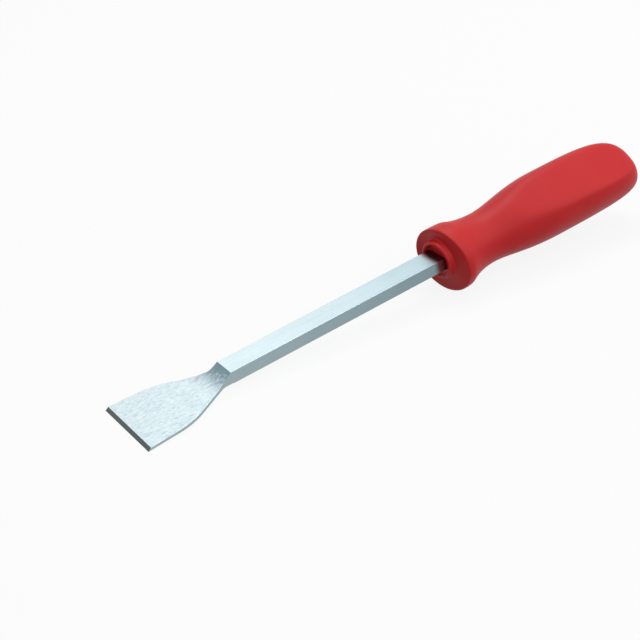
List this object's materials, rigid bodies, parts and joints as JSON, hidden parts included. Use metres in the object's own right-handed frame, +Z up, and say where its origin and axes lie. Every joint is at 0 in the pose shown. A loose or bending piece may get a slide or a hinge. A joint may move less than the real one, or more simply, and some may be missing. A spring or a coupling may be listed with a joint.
{
  "type": "gasket scraper",
  "caption": "Hand scraper with a flared flat steel blade on a bar shank and a red moulded handle with nose ring, collar and thumb flat, for cleaning gasket faces.",
  "frame": {"origin": "middle of the cutting edge, on the floor the tool rests on", "axes": "+X from the cutting edge to the butt, +Y across the blade, +Z up; the tool lies on its cutting edge and collar"},
  "size_m": [0.1497, 0.022, 0.0217],
  "materials": {
    "steel": "ground bright steel with fine grinding lines",
    "red_plastic": "moulded red plastic with a satin surface"
  },
  "bodies": {
    "root": {"blade": "steel", "handle": "red_plastic"}
  },
  "joints": []
}
